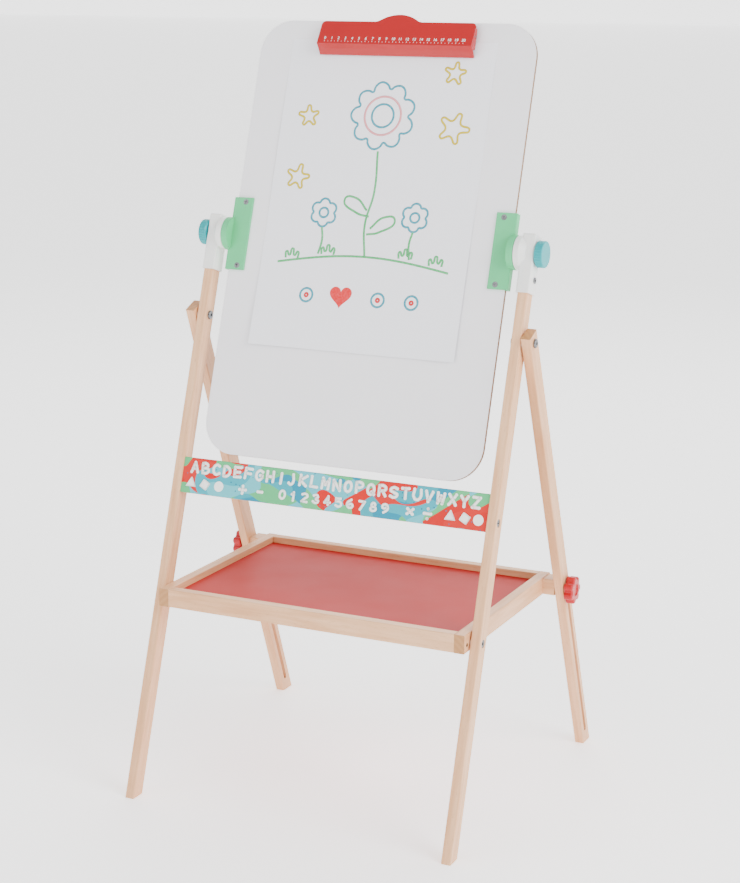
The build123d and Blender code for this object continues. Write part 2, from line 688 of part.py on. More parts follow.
with BuildPart() as clip_lever:
    with BuildSketch(across(front, clip_left)):
        with BuildLine():
            Polyline(*thick_line(lever_line, -clip_shell), close=True)
        make_face()
    extrude(amount=clip_width)
    with BuildSketch(plate_top) as bump:
        with Locations((0, bump_rise - bump_curve)):
            Circle(bump_curve)
        with Locations((0, bump_rise / 2)):
            Rectangle(bump_width, bump_rise, mode=Mode.INTERSECT)
        with Locations((0, -bump_root / 2)):
            Rectangle(2 * bump_width, bump_root)
        blends = bump.vertices().sort_by(lambda corner: abs(abs(corner.X) - bump_width / 2))
        fillet(blends[:2], radius=bump_blend)
    extrude(amount=-clip_shell)
    with BuildSketch(plate_top.offset(clip_shell)):
        for side, _ in SIDES:
            with Locations((side * (clip_width - clip_corner) / 2, -clip_corner / 2)):
                Rectangle(clip_corner, clip_corner)
            with Locations((side * (clip_width / 2 - clip_corner), -clip_corner)):
                Circle(clip_corner, mode=Mode.SUBTRACT)
    extrude(amount=-3 * clip_shell, mode=Mode.SUBTRACT)
    for start in (clip_left, clip_right - flange_thickness):
        with BuildSketch(across(front, start)):
            with BuildLine():
                Polyline(*flange_outline, close=True)
            make_face()
        extrude(amount=flange_thickness)
    with BuildSketch(across(front, clip_left)):
        with Locations(pin_at):
            Circle(clip_pin_radius + running)
    extrude(amount=clip_width, mode=Mode.SUBTRACT)
save(clip_lever, "clip_lever")

ear_thickness = 3.0
ear_radius = 3.0
ear_places = (-96.0, -60.0, 60.0, 96.0)
plate_low = 273.0
plate_high = 293.0
base_margin = 6.0
with BuildPart() as clip_base:
    with BuildSketch(facing(front, board_face)):
        with Locations((clip_centre, board_axis + (plate_low + plate_high) / 2)):
            Rectangle(clip_width - 2 * base_margin, plate_high - plate_low)
    extrude(amount=clip_plate)
    for place in ear_places:
        with BuildSketch(across(front, clip_centre + place - ear_thickness / 2)):
            with Locations(pin_at):
                Circle(ear_radius)
            with Locations(clip_point(clip_pin_up, clip_pin_out / 2)):
                Rectangle(clip_pin_out, 2 * ear_radius)
        extrude(amount=ear_thickness)
    with BuildSketch(across(front, clip_left)):
        with Locations(pin_at):
            Circle(clip_pin_radius)
    extrude(amount=clip_width, mode=Mode.SUBTRACT)
    for x, up in clip_screw_places:
        countersink(facing(front, board_face - clip_plate, x, up), clip_screw_radius, clip_screw_head,
                    clip_plate)
save(clip_base, "clip_base")

with BuildPart() as clip_screws:
    for x, up in clip_screw_places:
        countersunk_screw(facing(front, board_face - clip_plate, x, up), clip_screw_radius,
                          clip_screw_head, clip_screw_length)
save(clip_screws, "clip_screws")

with BuildPart() as clip_pin:
    with BuildSketch(across(front, clip_left)):
        with Locations(pin_at):
            Circle(clip_pin_radius)
    extrude(amount=clip_width)
save(clip_pin, "clip_pin")

wire_radius = 0.6
coil_turns = 8
coil_pitch = 1.15
coil_radius = clip_pin_radius + 0.4 + wire_radius
spring_leg = 6.5
spring_lean = 0.26  # sideways run of a leg for each unit along it
with BuildPart() as clip_springs:
    for place in ear_places[1:3]:
        inward = -1 if place > 0 else 1
        start = clip_centre + place + inward * (ear_thickness / 2 + 0.5)
        coil_start = front.from_local_coords((start, *pin_at))
        with BuildSketch(Plane(origin=coil_start, x_dir=front.x_dir * inward, z_dir=front.y_dir)):
            for turn in range(coil_turns):
                with Locations(((turn + 0.5) * coil_pitch, coil_radius)):
                    Circle(wire_radius)
            with Locations((coil_turns * coil_pitch / 2, coil_radius)):
                Rectangle((coil_turns - 1) * coil_pitch, wire_radius * 0.9)
        revolve(axis=Axis(coil_start, front.x_dir), revolution_arc=360)
        for turn, up in ((0.5, 1), (coil_turns - 0.5, -1)):
            foot = front.from_local_coords(
                (start + inward * turn * coil_pitch, pin_at[0] + up * coil_radius, pin_at[1])
            )
            along = front.z_dir * up + front.y_dir * up * spring_lean
            with BuildSketch(Plane(origin=foot, x_dir=front.x_dir, z_dir=along)):
                Circle(wire_radius)
            extrude(amount=spring_leg)
save(clip_springs, "clip_springs")

# ---- Drawing sheet under the clip ----
with BuildPart() as drawing_sheet:
    with BuildSketch(facing(front, board_face)):
        with Locations((sheet_centre, board_axis + sheet_top - sheet_size[1] / 2)):
            Rectangle(sheet_size[0], sheet_size[1])
    extrude(amount=sheet_size[2])
save(drawing_sheet, "drawing_sheet")
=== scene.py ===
"""Looks of a children's easel: printed rail, paper clip, child's drawing and every surface finish."""
import json
import logging
import math
from dataclasses import dataclass, field
from enum import Enum
from random import Random
from typing import Callable, Iterable

import bpy
from mathutils import Euler, Matrix, Vector


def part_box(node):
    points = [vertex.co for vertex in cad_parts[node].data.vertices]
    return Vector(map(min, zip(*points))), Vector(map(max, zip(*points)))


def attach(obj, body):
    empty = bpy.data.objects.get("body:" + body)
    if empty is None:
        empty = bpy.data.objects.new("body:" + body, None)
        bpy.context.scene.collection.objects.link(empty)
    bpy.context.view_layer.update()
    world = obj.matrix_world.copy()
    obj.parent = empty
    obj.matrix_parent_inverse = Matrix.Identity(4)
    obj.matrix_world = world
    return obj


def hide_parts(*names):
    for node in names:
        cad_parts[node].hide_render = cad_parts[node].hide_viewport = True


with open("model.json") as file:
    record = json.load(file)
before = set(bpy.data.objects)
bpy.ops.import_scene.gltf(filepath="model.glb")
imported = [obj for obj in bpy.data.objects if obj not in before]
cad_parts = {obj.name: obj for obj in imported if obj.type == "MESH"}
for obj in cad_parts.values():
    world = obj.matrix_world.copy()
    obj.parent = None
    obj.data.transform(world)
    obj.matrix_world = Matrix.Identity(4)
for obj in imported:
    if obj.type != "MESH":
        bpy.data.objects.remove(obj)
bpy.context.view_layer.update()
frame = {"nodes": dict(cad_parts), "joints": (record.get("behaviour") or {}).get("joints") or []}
LOG = logging.getLogger("easel")
MM = 0.001
FILM = 0.12 * MM  # thickness of an ink film
DOT_FILM = 0.1 * MM  # a pen line's round ends lie a little lower, so that their faces don't meet the line's
CAPITAL = 0.72  # height of a capital, as a share of the font's size
REAR_LEAN = math.radians(23.2)  # slope of the rear legs, near enough for the way their grain runs
HERE = Matrix.Identity(4)
Socket = bpy.types.NodeSocket
Pieces = list[bpy.types.Object]


# ---------------------------------------------------------------- colour and node helpers
def linear(code: str) -> tuple[float, float, float, float]:
    """Turn an sRGB hex code into linear colour.

    Args:
        code: Six hex digits, with or without a leading hash.

    Returns:
        Linear red, green and blue, and an alpha of 1.
    """
    code = code.lstrip("#")
    shares = [int(code[i:i + 2], 16) / 255 for i in (0, 2, 4)]
    return (*[c / 12.92 if c <= 0.04045 else ((c + 0.055) / 1.055) ** 2.4 for c in shares], 1.0)


def add(tree: bpy.types.NodeTree, kind: str, sockets: dict | None = None, **settings) -> bpy.types.Node:
    """Add a node to a material.

    Args:
        tree: The material's node tree.
        kind: The node's type without its "ShaderNode" prefix.
        sockets: Input name or index, with the value or the socket that feeds it.
        settings: Properties of the node.

    Returns:
        The new node.
    """
    made = tree.nodes.new("ShaderNode" + kind)
    for name, value in settings.items():
        setattr(made, name, value)
    for name, value in (sockets or {}).items():
        if isinstance(value, Socket):
            tree.links.new(value, made.inputs[name])
        else:
            made.inputs[name].default_value = value
    return made


def maths(tree: bpy.types.NodeTree, operation: str, *values: float | Socket) -> Socket:
    """Return the result of a Math node on the given values."""
    return add(tree, "Math", dict(enumerate(values)), operation=operation).outputs[0]


def blend_colours(tree: bpy.types.NodeTree, factor: float | Socket, low: object, high: object) -> Socket:
    """Mix two colours.

    Args:
        tree: The material's node tree.
        factor: 0 gives the first colour and 1 the second.
        low: Colour, or the socket that gives it.
        high: Colour, or the socket that gives it.

    Returns:
        The mixed colour's socket.
    """
    mixed = add(tree, "Mix", {0: factor, 6: low, 7: high}, data_type="RGBA")
    return mixed.outputs[2]


def ramp(tree: bpy.types.NodeTree, factor: Socket, low: float, high: float) -> Socket:
    """Return a factor spread from 0 at low to 1 at high."""
    return add(tree, "MapRange", {"Value": factor, "From Min": low, "From Max": high}).outputs[0]


def noise(tree: bpy.types.NodeTree, place: Socket, size: float, detail: float = 3.0) -> Socket:
    """Return noise whose features are about `size` metres wide."""
    return add(tree, "TexNoise", {"Vector": place, "Scale": 1 / size, "Detail": detail}).outputs[0]


# ---------------------------------------------------------------- finishes
class Grain(Enum):
    """Which way a timber's fibres run, as the turn that brings them to Z."""

    FRONT_LEG = "front_leg"
    REAR_LEG = "rear_leg"
    ACROSS = "across"
    TO_BACK = "to_back"

    def turn(self) -> Euler:
        """Return the turn from the easel's axes to the fibres' axes."""
        return {
            Grain.FRONT_LEG: Euler((FRONT.lean, 0, 0)),
            Grain.REAR_LEG: Euler((-REAR_LEAN, 0, 0)),
            Grain.ACROSS: Euler((0, -math.pi / 2, 0)),
            Grain.TO_BACK: Euler((math.pi / 2, 0, 0)),
        }[self]


@dataclass(frozen=True)
class Finish:
    """A surface: its name, its colour and how it was made."""

    name: str
    colour: str
    roughness: float = 0.4
    metallic: float = 0.0
    ior: float = 1.5
    edge: float = 0.5 * MM  # radius of its softened edges
    gloss: float = 0.5  # specular level

    def start(self) -> tuple[bpy.types.NodeTree, bpy.types.Node, Socket]:
        """Make the material with its shader.

        Returns:
            The node tree, the shader and the place on the object.
        """
        material = bpy.data.materials.new(self.name)
        material.use_nodes = True
        material.diffuse_color = linear(self.colour)
        tree = material.node_tree
        shader = tree.nodes["Principled BSDF"]
        shader.inputs["Base Color"].default_value = linear(self.colour)
        shader.inputs["Roughness"].default_value = self.roughness
        shader.inputs["Metallic"].default_value = self.metallic
        shader.inputs["IOR"].default_value = self.ior
        shader.inputs["Specular IOR Level"].default_value = self.gloss
        place = add(tree, "TexCoord").outputs["Object"]
        return tree, shader, place

    def relief(self, tree: bpy.types.NodeTree, shader: bpy.types.Node, height: Socket,
               depth: float, strength: float = 1.0) -> None:
        """Raise the surface by a height pattern, over softly rounded edges.

        Args:
            tree: The material's node tree.
            shader: The shader that takes the normal.
            height: Pattern from 0 to 1.
            depth: Height of the pattern in metres.
            strength: Share of the relief that shows.
        """
        rounded = add(tree, "Bevel", {"Radius": self.edge}, samples=4).outputs[0]
        bump = add(tree, "Bump", {"Height": height, "Distance": depth, "Strength": strength,
                                  "Normal": rounded})
        tree.links.new(bump.outputs[0], shader.inputs["Normal"])

    def vary_gloss(self, tree: bpy.types.NodeTree, shader: bpy.types.Node, pattern: Socket,
                   spread: float) -> None:
        """Let a pattern move the roughness evenly about the finish's own.

        Args:
            tree: The material's node tree.
            shader: The shader that takes the roughness.
            pattern: Pattern from 0 to 1.
            spread: How far the roughness moves in all.
        """
        moved = maths(tree, "MULTIPLY", pattern, spread)
        tree.links.new(maths(tree, "ADD", moved, self.roughness - spread / 2), shader.inputs["Roughness"])

    def build(self) -> bpy.types.Material:
        """Make the material. Each finish adds its own patterns."""
        self.start()
        return bpy.data.materials[self.name]


@dataclass(frozen=True)
class Timber(Finish):
    """Planed and clear-lacquered beech: pale, even, with fine dark flecks and darker end grain."""

    grain: Grain = Grain.FRONT_LEG
    late_wood: str = "#D69C6C"
    end_wood: str = "#B9854F"
    fleck: str = "#A86F3E"
    ring: float = 5.0 * MM
    fleck_width: float = 0.7 * MM  # real flecks are 0.2 mm wide; drawn coarser so that they show
    stretch: float = 14.0
    drift: float = 40.0 * MM
    end_ring: float = 22.0 * MM
    late_range: tuple[float, float] = (0.42, 0.68)  # tone over which early wood turns to late wood
    fleck_range: tuple[float, float] = (0.66, 0.74)
    cut_range: tuple[float, float] = (0.75, 0.9)  # how squarely a face cuts the fibres to be end grain
    fleck_share: float = 0.45
    lacquer: float = 0.12  # thin satin coat

    def build(self) -> bpy.types.Material:
        """Make the timber, with its figure along the fibres."""
        tree, shader, place = self.start()
        turned = add(tree, "Mapping", {"Vector": place, "Rotation": self.grain.turn()}).outputs[0]
        long_way = add(tree, "Mapping", {"Vector": turned, "Scale": (1, 1, 1 / self.stretch)}).outputs[0]
        figure = noise(tree, long_way, self.ring, 4.0)
        drift = noise(tree, long_way, self.drift, 2.0)
        tone = maths(tree, "ADD", maths(tree, "MULTIPLY", figure, 0.6), maths(tree, "MULTIPLY", drift, 0.5))
        late = ramp(tree, tone, *self.late_range)
        body = blend_colours(tree, late, linear(self.colour), linear(self.late_wood))
        marks = ramp(tree, noise(tree, long_way, self.fleck_width, 1.0), *self.fleck_range)
        shown = maths(tree, "MULTIPLY", marks, self.fleck_share)
        flecked = blend_colours(tree, shown, body, linear(self.fleck))
        fibre = Vector((0, 0, 1))
        fibre.rotate(self.grain.turn().to_matrix().transposed())
        facing = add(tree, "VectorMath", {0: add(tree, "TexCoord").outputs["Normal"], 1: fibre},
                     operation="DOT_PRODUCT").outputs["Value"]
        cut = ramp(tree, maths(tree, "ABSOLUTE", facing), *self.cut_range)
        rings = add(tree, "TexWave", {"Vector": turned, "Scale": 1 / self.end_ring, "Distortion": 2.0,
                                      "Detail": 2.0}, wave_type="RINGS", rings_direction="Z").outputs[0]
        ringed = maths(tree, "MULTIPLY", rings, 0.6)
        end = blend_colours(tree, ringed, linear(self.end_wood), linear(self.fleck))
        tree.links.new(blend_colours(tree, cut, flecked, end), shader.inputs["Base Color"])
        self.vary_gloss(tree, shader, figure, 0.14)
        shader.inputs["Coat Weight"].default_value = self.lacquer
        shader.inputs["Coat Roughness"].default_value = 0.35
        self.relief(tree, shader, maths(tree, "SUBTRACT", figure, marks), 0.06 * MM, 0.6)
        return bpy.data.materials[self.name]


@dataclass(frozen=True)
class Moulding(Finish):
    """Injection-moulded ABS: even colour through the part, with a fine spark-eroded grain."""

    grit: float = 0.8 * MM
    shade: float = 0.07
    grit_depth: float = 0.012 * MM
    flow: float = 30.0 * MM  # width of its flow marks

    def build(self) -> bpy.types.Material:
        """Make the plastic, with flow marks and a fine grain."""
        tree, shader, place = self.start()
        flow = noise(tree, place, self.flow, 2.0)
        deeper = [c * (1 - 2 * self.shade) for c in linear(self.colour)[:3]] + [1.0]
        tree.links.new(blend_colours(tree, flow, linear(self.colour), deeper), shader.inputs["Base Color"])
        spark = noise(tree, place, self.grit, 2.0)
        self.vary_gloss(tree, shader, spark, 0.08)
        shader.inputs["Subsurface Weight"].default_value = 0.05
        shader.inputs["Subsurface Scale"].default_value = 1.5 * MM
        self.relief(tree, shader, spark, self.grit_depth)
        return bpy.data.materials[self.name]


@dataclass(frozen=True)
class Paint(Finish):
    """Sprayed paint or enamel on a sheet: level, with a faint orange peel."""

    peel: float = 4.0 * MM
    peel_depth: float = 0.02 * MM
    coat: float = 0.0
    haze: str = ""  # colour that wiping leaves, if any
    wipe: float = 55.0 * MM
    smear: float = 26.0 * MM

    def build(self) -> bpy.types.Material:
        """Make the paint film, with the haze that wiping leaves."""
        tree, shader, place = self.start()
        colour: object = linear(self.colour)
        wipe = noise(tree, place, self.wipe, 4.0)
        if self.haze:
            streaks = add(tree, "Mapping", {"Vector": place, "Scale": (0.35, 1, 1)}).outputs[0]
            smear = noise(tree, streaks, self.smear, 6.0)
            colour = blend_colours(tree, ramp(tree, smear, 0.42, 0.85), colour, linear(self.haze))
        tint = [c * 0.93 for c in linear(self.colour)[:3]] + [1.0]
        mixed = blend_colours(tree, maths(tree, "MULTIPLY", wipe, 0.5), colour, tint)
        tree.links.new(mixed, shader.inputs["Base Color"])
        gloss = maths(tree, "ADD", maths(tree, "MULTIPLY", wipe, 0.12), self.roughness - 0.05)
        tree.links.new(gloss, shader.inputs["Roughness"])
        shader.inputs["Coat Weight"].default_value = self.coat
        shader.inputs["Coat Roughness"].default_value = 0.08
        self.relief(tree, shader, noise(tree, place, self.peel, 1.0), self.peel_depth)
        return bpy.data.materials[self.name]


@dataclass(frozen=True)
class Fibreboard(Finish):
    """Sawn edge of medium-density fibreboard: brown, with short pressed fibres."""

    fibre: float = 0.9 * MM
    dark: str = "#6E4F38"

    def build(self) -> bpy.types.Material:
        """Make the fibres, pressed flat into the sheet's plane."""
        tree, shader, place = self.start()
        fibres = noise(tree, place, self.fibre, 5.0)
        mixed = blend_colours(tree, ramp(tree, fibres, 0.35, 0.7), linear(self.colour), linear(self.dark))
        tree.links.new(mixed, shader.inputs["Base Color"])
        self.relief(tree, shader, fibres, 0.08 * MM, 0.8)
        return bpy.data.materials[self.name]


@dataclass(frozen=True)
class Metal(Finish):
    """Small turned or pressed metal part: fine tool marks and a patchy plated colour."""

    dull: str = "#5E5F61"
    mark: float = 0.6 * MM

    def build(self) -> bpy.types.Material:
        """Make the metal, with patches of duller plating."""
        tree, shader, place = self.start()
        patch = noise(tree, place, 3 * MM, 4.0)
        tree.links.new(blend_colours(tree, ramp(tree, patch, 0.35, 0.75), linear(self.colour),
                                     linear(self.dull)), shader.inputs["Base Color"])
        scratch = add(tree, "Mapping", {"Vector": place, "Scale": (1, 6, 1)}).outputs[0]
        marks = noise(tree, scratch, self.mark, 3.0)
        self.vary_gloss(tree, shader, marks, 0.18)
        self.relief(tree, shader, marks, 0.015 * MM)
        return bpy.data.materials[self.name]


@dataclass(frozen=True)
class Paper(Finish):
    """Smooth drawing paper: matt, faintly mottled by its pressed fibres."""

    fibre: float = 1.6 * MM
    shade: str = "#C2BAEE"

    def build(self) -> bpy.types.Material:
        """Make the paper, with fine and broad mottling."""
        tree, shader, place = self.start()
        cloud = noise(tree, place, self.fibre, 5.0)
        broad = noise(tree, place, 70 * MM, 2.0)
        fine = maths(tree, "MULTIPLY", cloud, 0.4)
        mottled = ramp(tree, maths(tree, "ADD", fine, maths(tree, "MULTIPLY", broad, 0.5)), 0.3, 0.7)
        mixed = blend_colours(tree, mottled, linear(self.colour), linear(self.shade))
        tree.links.new(mixed, shader.inputs["Base Color"])
        self.relief(tree, shader, cloud, 0.03 * MM, 0.7)
        return bpy.data.materials[self.name]


@dataclass(frozen=True)
class Ink(Finish):
    """Felt-pen or screen-printed ink: a flat film, lighter where it was laid on thinly."""

    thin: str = "#FFFFFF"
    blot: float = 2.5 * MM
    patchiness: float = 0.3

    def build(self) -> bpy.types.Material:
        """Make the ink film, with thinner and thicker patches."""
        tree, shader, place = self.start()
        laid = noise(tree, place, self.blot, 3.0)
        thinner = maths(tree, "MULTIPLY", ramp(tree, laid, 0.4, 0.8), self.patchiness)
        tree.links.new(blend_colours(tree, thinner, linear(self.colour), linear(self.thin)),
                       shader.inputs["Base Color"])
        self.relief(tree, shader, laid, 0.01 * MM)
        return bpy.data.materials[self.name]


@dataclass(frozen=True)
class PrintedFilm(Finish):
    """Screen-printed rail: hills of flat colour with small dots, sealed under a satin varnish."""

    hills: tuple[str, ...] = ("#CC2A22", "#2FA5B6", "#5ABCC8", "#4FB676", "#55B8C6", "#CC1A14", "#2AA0B0",
                              "#0788A4", "#55B878", "#C8201A")  # from the left end to the right
    slant: float = 1.1  # how far a hill's edge leans, for each unit of height
    swing: float = 240 * MM  # how far its edge wanders
    hill: float = 62 * MM
    overlap: float = 0.37  # a patch shows the hill that lies this share of the rail further on
    cover: float = 0.56  # noise above this makes a patch
    dot_pitch: float = 7.5 * MM
    dot_radius: float = 0.14  # of the pitch
    dot_skip: float = 0.35  # share of the cells that have no dot
    dark_share: float = 0.6  # share of the dots that are dark
    dot_cover: float = 0.85
    dark_dot: str = "#04647F"
    light_dot: str = "#C8F0F4"
    back: str = "#E4D6C2"
    back_fibre: str = "#C9B393"

    def band(self, tree: bpy.types.NodeTree, share: Socket) -> Socket:
        """Return the hill's colour at a share of the way along the rail.

        Args:
            tree: The material's node tree.
            share: 0 at the rail's left end and 1 at its right; past them the hills begin again.

        Returns:
            The colour's socket.
        """
        made = add(tree, "ValToRGB", {0: maths(tree, "FRACT", share)})
        made.color_ramp.interpolation = "CONSTANT"
        stops = made.color_ramp.elements
        while len(stops) < len(self.hills):
            stops.new(0.5)
        for index, code in enumerate(self.hills):
            stops[index].position = index / len(self.hills)
            stops[index].color = linear(code)
        return made.outputs[0]

    def build(self) -> bpy.types.Material:
        """Make the hills from leaning bands with wavy edges, and the dots from small cells."""
        tree, shader, place = self.start()
        turned = add(tree, "Mapping", {"Vector": place, "Rotation": Grain.FRONT_LEG.turn()}).outputs[0]
        flat = add(tree, "Mapping", {"Vector": turned, "Scale": (0.8, 0, 1.2)}).outputs[0]
        level = maths(tree, "SUBTRACT", noise(tree, flat, self.hill, 0.0), 0.5)
        wave = maths(tree, "MULTIPLY", level, self.swing)
        spot = add(tree, "SeparateXYZ", {0: turned})
        low, high = reach("alphabet_rail", UP, Vector())
        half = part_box("alphabet_rail")[1][0]
        rise = maths(tree, "SUBTRACT", spot.outputs[2], (low + high) / 2)
        along = maths(tree, "SUBTRACT", spot.outputs[0], maths(tree, "MULTIPLY", rise, self.slant))
        share = add(tree, "MapRange", {"Value": maths(tree, "ADD", along, wave), "From Min": -half,
                                       "From Max": half}, clamp=False).outputs[0]
        near = self.band(tree, share)
        far = self.band(tree, maths(tree, "ADD", share, self.overlap))
        patch = maths(tree, "GREATER_THAN", noise(tree, flat, self.hill * 0.6, 0.0), self.cover)
        hills = blend_colours(tree, patch, near, far)
        plane = add(tree, "Mapping", {"Vector": turned, "Scale": (1, 0, 1)}).outputs[0]
        speck = add(tree, "TexVoronoi", {"Vector": plane, "Scale": 1 / self.dot_pitch, "Randomness": 0.8})
        inside = maths(tree, "LESS_THAN", speck.outputs["Distance"], self.dot_radius)
        chosen = add(tree, "SeparateColor", {0: speck.outputs["Color"]})
        kept = maths(tree, "GREATER_THAN", chosen.outputs[0], self.dot_skip)
        dotted = maths(tree, "MULTIPLY", inside, kept)
        light = maths(tree, "GREATER_THAN", chosen.outputs[1], self.dark_share)
        dot = blend_colours(tree, light, linear(self.dark_dot), linear(self.light_dot))
        printed = blend_colours(tree, maths(tree, "MULTIPLY", dotted, self.dot_cover), hills, dot)
        outward = add(tree, "VectorMath", {0: add(tree, "TexCoord").outputs["Normal"], 1: FRONT.out},
                      operation="DOT_PRODUCT").outputs["Value"]
        face = maths(tree, "GREATER_THAN", outward, 0.35)
        fibres = noise(tree, place, 1.2 * MM, 4.0)
        bare = blend_colours(tree, fibres, linear(self.back), linear(self.back_fibre))
        tree.links.new(blend_colours(tree, face, bare, printed), shader.inputs["Base Color"])
        shader.inputs["Coat Weight"].default_value = 0.05
        shader.inputs["Coat Roughness"].default_value = 0.3
        self.relief(tree, shader, fibres, 0.02 * MM)
        return bpy.data.materials[self.name]


# ---------------------------------------------------------------- places read from the frame
@dataclass(frozen=True)
class LeaningPlane:
    """A plane that leans with the front legs: X across, `up` along the legs, `out` to the front."""

    origin: Vector
    up: Vector
    out: Vector

    @property
    def lean(self) -> float:
        """Angle back from the vertical."""
        return math.atan2(self.up.y, self.up.z)

    def at(self, x: float, up: float, out: float = 0.0) -> Vector:
        """Return the point that far across, up the plane and in front of it."""
        return self.origin + Vector((x, 0, 0)) + self.up * up + self.out * out

    def matrix(self, x: float, up: float, out: float, tip: float = 0.0) -> Matrix:
        """Return the placing of a piece drawn flat in X and Y, facing +Z.

        Args:
            x: Across the plane.
            up: Up the plane.
            out: In front of the plane.
            tip: Turn about X, which leans the piece's top to the back.

        Returns:
            The matrix that carries the flat piece to its place.
        """
        axes = Matrix((Vector((1, 0, 0)), self.up, self.out)).transposed().to_4x4()
        return Matrix.Translation(self.at(x, up, out)) @ axes @ Matrix.Rotation(-tip, 4, "X")


def joint_place(name: str) -> Vector:
    """Return where a joint's axis passes, in metres."""
    return Vector(next(j for j in frame["joints"] if j["name"] == name)["pos_m"])


def reach(node: str, direction: Vector, origin: Vector) -> tuple[float, float]:
    """Return a CAD node's least and greatest distance from a point along a direction."""
    spread = [(v.co - origin).dot(direction) for v in frame["nodes"][node].data.vertices]
    return min(spread), max(spread)


UP = (joint_place("rear_leg_left_fold") - joint_place("tray_fold")).normalized()  # along a front leg
OUT = Vector((0, -UP.z, UP.y))
TILT = joint_place("board_tilt")
FRONT = LeaningPlane(TILT, UP, OUT)
BOARD = LeaningPlane(TILT + OUT * reach("whiteboard_sheet", OUT, TILT)[1], UP, OUT)


# ---------------------------------------------------------------- modelling helpers
def only(obj: bpy.types.Object) -> None:
    """Deselect everything, then select one object and make it active.

    Args:
        obj: The object.
    """
    bpy.ops.object.select_all(action="DESELECT")
    obj.select_set(True)
    bpy.context.view_layer.objects.active = obj


def fresh(operator: Callable[..., set[str]], **settings) -> bpy.types.Object:
    """Add a primitive or a text with nothing else selected.

    Args:
        operator: The operator that adds it.
        settings: The operator's settings.

    Returns:
        The new object.
    """
    bpy.ops.object.select_all(action="DESELECT")
    operator(**settings)
    return bpy.context.view_layer.objects.active


def settle(obj: bpy.types.Object, placing: Matrix = HERE) -> bpy.types.Object:
    """Move a piece to its place and apply the move, so that its place is in its mesh.

    Args:
        obj: The piece.
        placing: The move, made after the piece's own.

    Returns:
        The same piece.
    """
    bpy.context.view_layer.update()
    obj.matrix_world = placing @ obj.matrix_world
    only(obj)
    bpy.ops.object.transform_apply(location=True, rotation=True, scale=True)
    return obj


def to_mesh(obj: bpy.types.Object) -> bpy.types.Object:
    """Turn a curve or text into a mesh.

    Args:
        obj: The curve or text.

    Returns:
        The mesh object that it became.
    """
    only(obj)
    bpy.ops.object.convert(target="MESH")
    return bpy.context.view_layer.objects.active


def from_curve(curve: bpy.types.Curve) -> bpy.types.Object:
    """Place a curve in the scene and turn it into a mesh object."""
    obj = bpy.data.objects.new(curve.name, curve)
    bpy.context.collection.objects.link(obj)
    return to_mesh(obj)


def joined(pieces: Pieces, name: str) -> bpy.types.Object:
    """Join pieces of one body and one finish into one object.

    Args:
        pieces: The pieces.
        name: The whole's name.

    Returns:
        The whole.
    """
    only(pieces[0])
    for piece in pieces:
        piece.select_set(True)
    if len(pieces) > 1:
        bpy.ops.object.join()
    whole = bpy.context.view_layer.objects.active
    whole.name = name
    whole.data.name = name
    return whole


def dress(obj: bpy.types.Object, material: bpy.types.Material) -> None:
    """Give a piece one material."""
    obj.data.materials.clear()
    obj.data.materials.append(material)


def hand_over(obj: bpy.types.Object, body: str, material: bpy.types.Material) -> None:
    """Dress a finished piece and let it ride on its body.

    Args:
        obj: The piece.
        body: The body that it moves with.
        material: Its finish.
    """
    dress(obj, material)
    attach(obj, body)
    LOG.info("%s rides on %s: %d faces", obj.name, body, len(obj.data.polygons))


def lettering(body: str, height: float, swell: float, thickness: float) -> bpy.types.Object:
    """Make a short text as a flat mesh that faces +Z, centred on the origin.

    Args:
        body: The text.
        height: Height of a capital.
        swell: How far the strokes are fattened on each side.
        thickness: Thickness of the ink film, half of it each side of Z = 0.

    Returns:
        The text's mesh.
    """
    text = fresh(bpy.ops.object.text_add)
    text.data.body = body
    text.data.size = height / CAPITAL
    text.data.align_x = "CENTER"
    text.data.align_y = "CENTER"
    text.data.offset = swell
    text.data.extrude = thickness / 2
    text.data.resolution_u = 6
    return to_mesh(text)


def stroke(points: Iterable[tuple[float, float]], width: float, closed: bool = False) -> bpy.types.Object:
    """Make a pen line as a flat ribbon that faces +Z.

    Args:
        points: The line's points in X and Y.
        width: Width of the line.
        closed: Whether the line returns to its start.

    Returns:
        The line's mesh.
    """
    curve = bpy.data.curves.new("stroke", "CURVE")
    curve.dimensions = "3D"
    curve.bevel_depth = width / 2
    curve.bevel_resolution = 2
    curve.use_fill_caps = True
    curve.resolution_u = 8
    points = list(points)
    spline = curve.splines.new("BEZIER")
    spline.bezier_points.add(len(points) - 1)
    for knot, (x, y) in zip(spline.bezier_points, points):
        knot.co = (x, y, 0)
        knot.handle_left_type = knot.handle_right_type = "AUTO"
    spline.use_cyclic_u = closed
    line = from_curve(curve)
    line.scale = (1, 1, FILM / width)
    return settle(line)


